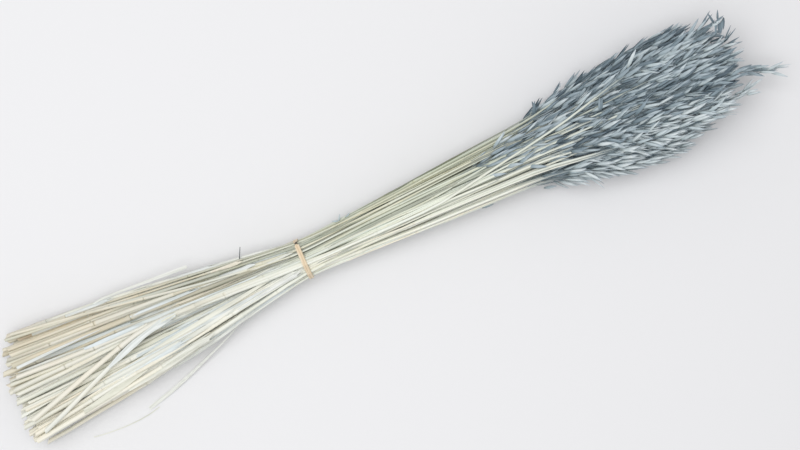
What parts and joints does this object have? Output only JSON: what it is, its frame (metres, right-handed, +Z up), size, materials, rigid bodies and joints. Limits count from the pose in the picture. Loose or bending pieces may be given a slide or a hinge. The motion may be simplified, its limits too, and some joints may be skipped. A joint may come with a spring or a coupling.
{
  "type": "dried oat bundle",
  "caption": "Bundle of dried oat stalks lying down, waisted by a rubber band, with cut straw ends at one end and drooping grain heads at the other.",
  "frame": {"origin": "under the middle of the bundle's bounding box, on the surface that it lies on", "axes": "+X along the bundle from the cut ends to the tips of the heads, +Z up, +Y to the left of +X"},
  "size_m": [0.7, 0.119, 0.0656],
  "materials": {
    "dried_straw": "dull pale straw, blue-grey on the husks",
    "natural_rubber": "satin, slightly dusty"
  },
  "bodies": {
    "root": {"oat_stalk_01": "dried_straw", "oat_stalk_02": "dried_straw", "oat_stalk_03": "dried_straw", "oat_stalk_04": "dried_straw", "oat_stalk_05": "dried_straw", "oat_stalk_06": "dried_straw", "oat_stalk_07": "dried_straw", "oat_stalk_08": "dried_straw", "oat_stalk_09": "dried_straw", "oat_stalk_10": "dried_straw", "oat_stalk_11": "dried_straw", "oat_stalk_12": "dried_straw", "oat_stalk_13": "dried_straw", "oat_stalk_14": "dried_straw", "oat_stalk_15": "dried_straw", "oat_stalk_16": "dried_straw", "oat_stalk_17": "dried_straw", "oat_stalk_18": "dried_straw", "oat_stalk_19": "dried_straw", "oat_stalk_20": "dried_straw", "oat_stalk_21": "dried_straw", "oat_stalk_22": "dried_straw", "oat_stalk_23": "dried_straw", "oat_stalk_24": "dried_straw", "oat_stalk_25": "dried_straw", "oat_stalk_26": "dried_straw", "oat_stalk_27": "dried_straw", "oat_stalk_28": "dried_straw", "oat_stalk_29": "dried_straw", "oat_stalk_30": "dried_straw", "oat_stalk_31": "dried_straw", "oat_stalk_32": "dried_straw", "oat_stalk_33": "dried_straw", "oat_stalk_34": "dried_straw", "oat_stalk_35": "dried_straw", "oat_stalk_36": "dried_straw", "oat_stalk_37": "dried_straw", "oat_stalk_38": "dried_straw", "oat_stalk_39": "dried_straw", "oat_stalk_40": "dried_straw", "oat_stalk_41": "dried_straw", "oat_stalk_42": "dried_straw", "oat_stalk_43": "dried_straw", "oat_stalk_44": "dried_straw", "oat_stalk_45": "dried_straw", "oat_stalk_46": "dried_straw", "oat_stalk_47": "dried_straw", "oat_stalk_48": "dried_straw", "oat_stalk_49": "dried_straw", "oat_stalk_50": "dried_straw", "oat_stalk_51": "dried_straw", "oat_stalk_52": "dried_straw", "oat_stalk_53": "dried_straw", "oat_stalk_54": "dried_straw", "oat_stalk_55": "dried_straw", "oat_stalk_56": "dried_straw", "oat_stalk_57": "dried_straw", "oat_stalk_58": "dried_straw", "rubber_band": "natural_rubber"}
  },
  "joints": []
}
